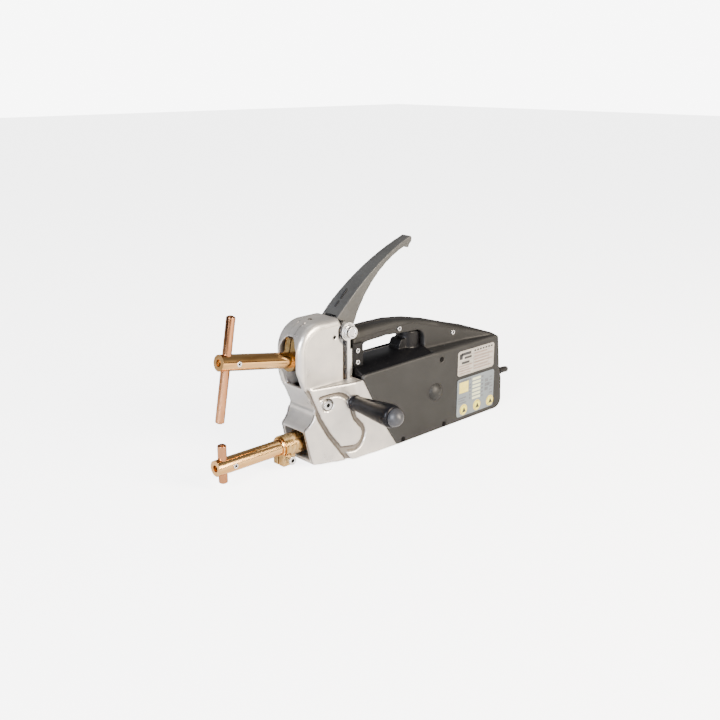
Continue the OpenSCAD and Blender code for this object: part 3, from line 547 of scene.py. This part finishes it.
def strain_relief():
    """Tapered rubber sleeve with ring grooves."""
    front_x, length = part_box("strain_relief")[0][0] / MM, 39
    grooves, spacing, groove_depth = 8, 4.3, 1.1
    profile = [(0, 0), (0, 7.5)]
    for i in range(grooves):
        start = 3 + i * spacing
        outer = 7.4 - start / 20
        inner = outer - groove_depth
        profile += [(start, outer), (start + 0.5, inner), (start + 1.4, inner), (start + 1.9, outer)]
    profile += [(length - 0.6, 5.3), (length, 4.6), (length, 0)]
    sleeve = turned("ribbed_strain_relief", profile, (front_x, 0, LEAD_HEIGHT), (1, 0, 0))
    keep(sleeve, plug_rubber, "cable_rubber", "frame", "strain_relief")


def lever_inlays():
    """Black inserts on the floor of the two slots in the lever's top face."""
    width, thickness, sunk = 1.7, 1.6, 0.1
    slope = Matrix.Rotation(math.radians(-43.5), 4, "Y")
    shape = bmesh.new()
    for x, z, length in ((-155, 180.2, 8.6), (-144.4, 190.4, 13.6)):
        made = bmesh.ops.create_cube(shape, size=1)["verts"]
        bmesh.ops.scale(shape, vec=Vector((length, width, thickness)) * MM, verts=made)
        place = Matrix.Translation(Vector((x, 1.2, z)) * MM) @ slope
        bmesh.ops.transform(shape, matrix=place @ Matrix.Translation((0, 0, -sunk * MM)), verts=made)
    keep(filled(blank("lever_slot_inlays"), shape), switch_plastic, "lever_plastic", "lever")


def collar_ring():
    """Copper ring in front of the lower clamp, where the arm goes in."""
    profile = [(0, 9.15), (0, 10.6), (0.5, 11.2), (2.4, 11.2), (2.9, 10.9), (2.9, 9.15), (0, 9.15)]
    ring = turned("lower_clamp_ring", profile, (-245.9, 0, 29), (1, 0, 0))
    keep(ring, copper_bar, "copper", "frame")


def socket_shadows():
    """Painted shade: dark discs just inside the mouths of the screws' sockets and the holes, where deep
    narrow holes lie in shade.
    Each row holds the node, how its discs are turned, and their (x, y, z, radius) in millimetres."""
    sides = (-1, 1)
    pivot = Matrix.Translation(Vector((-196, 0, 75)) * MM)
    tilt = pivot @ Matrix.Rotation(math.radians(10.2), 4, "Y") @ pivot.inverted()
    upright = Matrix.Identity(4)
    lying = Matrix.Translation(Vector((-196, 0, 169.8)) * MM) @ Matrix.Rotation(math.pi / 2, 4, "X")
    rows = [("stop_screw", lying, [(0, 0, 0, 2.3)]),
            ("plate_screws", upright, [(-141.7, side * 20.1, z, 1.3) for side in sides for z in (112, 126)]),
            ("casing_screws", upright, [(x, side * 36.85, z, 3.1) for side in sides
                                        for x, z in ((-15, 92), (-8, 4.4), (-82, 4.2))]),
            ("front_casting", upright, [(-179, side * 21.75, 149.5, 1.9) for side in sides]),
            ("handle_screws", upright, [(-70, -16.45, 138, 1.35), (23, -20.85, 116.5, 1.35)]),
            ("lower_clamp_screw", upright, [(-236.5, -13.7, 14.5, 2.2)]),
            ("carrier_pin", upright, [(-196, -29.2, 75, 2.4)]),
            ("electrode_screws", upright, [(-310.5, -9.3, 29, 1.35)]),
            ("upper_clamp_screw", tilt, [(-230, -12.8, 140, 1.75)]),
            ("upper_arm_screw", tilt, [(-310.5, -9.3, 122, 1.35)])]
    for node, place, discs in rows:
        shape = bmesh.new()
        for x, y, z, radius in discs:
            made = bmesh.ops.create_cone(shape, cap_ends=True, segments=24, radius1=radius * MM,
                                         radius2=radius * MM, depth=0.2 * MM)["verts"]
            bmesh.ops.transform(shape, verts=made, matrix=place @ Matrix.Translation(Vector((x, y, z)) * MM)
                                @ Matrix.Rotation(math.pi / 2, 4, "X"))
        keep(filled(blank(node + "_sockets"), shape), socket_shade_paint, slot_of_node[node], body_of_node[node])


def panel_print():
    """Plain bars, boxes and triangles in place of any wording."""
    face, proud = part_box("control_panel")[0][1] / MM, 0.12
    dark = [(17 + i * 3.6, 53.2, 19.6 + i * 3.6, 56.0) for i in range(7)]
    dark += [(38.5, 27 + i * 4.6, 41, 29.6 + i * 4.6) for i in range(5)]
    dark += [(62.5, 25 + i * 5.2, 66, 27.4 + i * 5.2) for i in range(6)]
    dark += [(69.5, 31 + i * 6.2, 76 + (i % 2) * 3, 35.4 + i * 6.2) for i in range(3)]
    dark += [(17.5, 24 + i * 3.4, 17.5 + (16, 12, 15)[i], 25.6 + i * 3.4) for i in range(3)]
    dark += [(79, 25.5 + i * 4.4, 79 + (6, 5, 6.5, 4.5, 6, 5)[i], 27.2 + i * 4.4) for i in range(6)]
    keep(bars("panel_marks_dark", dark, face, proud), print_grey, "panel_film", "frame")
    pale = [(44.5, 25 + i * 5.2, 60.5, 28.2 + i * 5.2) for i in range(6)]
    keep(bars("panel_marks_pale", pale, face, proud), print_green, "panel_film", "frame")
    for side in ("left", "middle", "right"):
        low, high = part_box(f"button_{side}")
        x, top = (low[0] + high[0]) / 2 / MM, low[1] / MM - proud
        ring = turned(f"button_ring_{side}", [(0, 6.0), (0, 7.3), (0.15, 7.3), (0.15, 6.0), (0, 6.0)],
                      (x, face, 15), (0, -1, 0), 48)
        keep(ring, print_yellow, "panel_film", "frame")
        arrow = bmesh.new()
        corners = [arrow.verts.new((px * MM, top * MM, pz * MM))
                   for px, pz in ((x - 3.7, 11.9), (x + 3.7, 11.9), (x, 18.6))]
        front = arrow.faces.new(corners)
        grown = bmesh.ops.extrude_face_region(arrow, geom=[front])["geom"]
        back = [v for v in grown if isinstance(v, bmesh.types.BMVert)]
        bmesh.ops.translate(arrow, vec=(0, 0.16 * MM, 0), verts=back)
        keep(filled(blank(f"button_arrow_{side}"), arrow), print_black, "button_yellow", f"button_{side}")


def label_print():
    """Generic boxes and bars on the white label."""
    face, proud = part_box("rating_label")[0][1] / MM, 0.1
    dark = [(21, 88.6, 40, 92.4), (27, 83.6, 41, 86.6), (17.5, 84, 23.5, 91.5), (22, 77.4, 37, 80.4)]
    dark += [(46 + i * 5.5, 90.2, 49.6 + i * 5.5, 92.4) for i in range(7)]
    keep(bars("label_marks", dark, face, proud), print_black, "label_film", "frame")
    small = [(46, 65.8 + i * 4.1, 46 + (34, 28, 36, 31, 37, 26)[i], 67.9 + i * 4.1) for i in range(6)]
    small += [(17, 64.3 + i * 3.3, 17 + (23, 26, 20, 25)[i], 66.0 + i * 3.3) for i in range(4)]
    keep(bars("label_small_print", small, face, proud), print_brown, "label_film", "frame")
    thin = [(16, 63 + i * 6.2, 85, 63.25 + i * 6.2) for i in range(6)]
    thin += [(44.6, 63, 44.9, 94), (75, 63, 75.3, 94)]
    keep(bars("label_rules", thin, face, proud), print_grey, "label_film", "frame")


# ---------------------------------------------------------------- build
lead, lead_length = mains_lead()
head_casting()
casing_shell("casing_right")
casing_shell("casing_left")
lever_handle()
deck_liner()

# machined, pressed and moulded pieces: the CAD shape with its edges broken, in millimetres
EDGES = {
    "lever_bracket": (0.9, machined_aluminium),
    "handle_plates": (0.35, black_enamel), "plate_screws": (0.3, bright_zinc),
    "handle_screws": (0.3, bright_zinc), "casing_screws": (0.2, black_oxide),
    "dome_plug": (0.3, casing_plastic), "rating_label": (0.08, label_film),
    "control_panel": (0.15, panel_film), "display_window": (0.3, display_film),
    "button_left": (0.5, button_yellow), "button_middle": (0.5, button_yellow),
    "button_right": (0.5, button_yellow), "lower_clamp": (0.6, turned_brass),
    "lower_clamp_screw": (0.4, bright_zinc), "lower_arm": (0.6, copper_bar),
    "lower_electrode": (0.3, copper_rod), "electrode_screws": (0.25, bright_zinc),
    "arm_carrier": (0.8, machined_aluminium), "carrier_pin": (0.4, bright_zinc),
    "carrier_insulator": (0.2, phenolic_board),
    "upper_clamp": (0.6, turned_brass), "upper_clamp_screw": (0.4, bright_zinc),
    "upper_arm": (0.6, copper_bar), "upper_electrode": (0.3, copper_rod),
    "upper_arm_screw": (0.25, bright_zinc), "stop_screw": (0.3, black_oxide),
    "lever_core": (0.4, ground_steel), "lever_bolt": (0.5, bright_zinc),
    "lever_nut": (0.6, bright_zinc), "link_rod": (0.4, ground_steel),
    "cord_gland": (0.5, lead_rubber), "cord_tie": (0.3, lead_rubber), "plug": (1.2, plug_rubber),
    "trigger_switch": (0.3, switch_plastic), "switch_plunger": (0.2, plunger_plastic),
}
for node, (width, material) in EDGES.items():
    piece = eased_edges(merged_copy(node, node + "_shown"), width)
    keep(piece, material, slot_of_node[node], body_of_node[node], node)

# pieces inside that keep the CAD mesh
INSIDE = {
    "timer_board": green_board, "thyristor_module": heat_sink, "chassis_plate": heat_sink,
    "transformer_core": core_steel, "primary_coils": winding_wire, "secondary_bar": copper_bar,
    "terminal_insulator": phenolic_board, "flexible_strap": copper_bar, "carrier_bushes": sintered_bronze,
    "return_spring": blued_steel, "lever_bush": sintered_bronze, "force_spring": blued_steel,
    "crank_pin": bright_zinc, "side_grip_stud": bright_zinc,
}
for node, material in INSIDE.items():
    frame["nodes"][node].data.materials.clear()
    frame["nodes"][node].data.materials.append(material)

side_handle()
strain_relief()
collar_ring()
lever_inlays()
socket_shadows()
panel_print()
label_print()


# ---------------------------------------------------------------- floor and light
def lamp(name, place, size, watts, colour):
    """A square softbox that faces the welder."""
    light = bpy.data.lights.new(name, "AREA")
    light.size = size
    light.energy = watts
    light.color = linear(colour)[:3]
    held = bpy.data.objects.new(name, light)
    held.location = place
    held.rotation_euler = (Vector(place) - LOOK_AT).to_track_quat("Z", "Y").to_euler()
    scene.collection.objects.link(held)


FLOOR_HALF = 8  # metres
FLOOR_GLOW = 4.5  # lifts the floor's own white where the camera looks straight at it
floor_shape = bmesh.new()
bmesh.ops.create_grid(floor_shape, x_segments=1, y_segments=1, size=FLOOR_HALF)
floor = filled(blank("floor"), floor_shape)
scene.collection.objects.link(floor)
# Matt white emulsion on board: even, no gloss
floor_paint = finish_of("matt_white_floor", "#f4f4f4", "#f6f6f6", 0, 0.9, 0.02, 400, 3, 0.0)
floor_nodes = floor_paint.node_tree
floor_shader = floor_nodes.nodes["Principled BSDF"]
glow = add(floor_nodes, "ShaderNodeMath", {"operation": "MULTIPLY"})
glow.inputs[1].default_value = FLOOR_GLOW
seen = add(floor_nodes, "ShaderNodeLightPath").outputs["Is Camera Ray"]
floor_nodes.links.new(seen, glow.inputs[0])
floor_nodes.links.new(glow.outputs[0], floor_shader.inputs["Emission Strength"])
floor_shader.inputs["Emission Color"].default_value = linear("#ffffff")
floor.data.materials.append(floor_paint)

# studio: a pale dome with a dark band near the horizon, which gives the metal its contrast
world = bpy.data.worlds.new("studio")
scene.world = world
world.use_nodes = True
sky = world.node_tree
direction = add(sky, "ShaderNodeTexCoord").outputs["Generated"]
sky_height = add(sky, "ShaderNodeSeparateXYZ", (), {"Vector": direction}).outputs["Z"]
sky_ramp = add(sky, "ShaderNodeValToRGB", (), {"Fac": sky_height})
sky_ramp.color_ramp.elements[0].color = (0.05, 0.05, 0.055, 1)
sky_ramp.color_ramp.elements[1].position = 1
sky_ramp.color_ramp.elements[1].color = (0.18, 0.18, 0.19, 1)
for height, level in ((0.08, 0.06), (0.28, 0.52), (0.5, 0.30)):
    sky_ramp.color_ramp.elements.new(height).color = (level, level, level * 1.02, 1)
lighting = sky.nodes["Background"]
lighting.inputs["Strength"].default_value = 1
sky.links.new(sky_ramp.outputs[0], lighting.inputs["Color"])
backdrop = add(sky, "ShaderNodeBackground", {"Color": linear("#ffffff"), "Strength": 8.0})
seen = add(sky, "ShaderNodeLightPath").outputs["Is Camera Ray"]
both = add(sky, "ShaderNodeMixShader", (), {"Fac": seen})
sky.links.new(lighting.outputs[0], both.inputs[1])
sky.links.new(backdrop.outputs[0], both.inputs[2])
sky.links.new(both.outputs[0], sky.nodes["World Output"].inputs["Surface"])
lamp("key_from_the_side", (0.25, -1.75, 0.85), 0.9, 124, "#fff0dc")
lamp("cool_front", (-1.9, -0.7, 0.75), 0.9, 92, "#eef3ff")
lamp("top", (-0.1, 0.6, 1.9), 1.0, 3, "#ffffff")
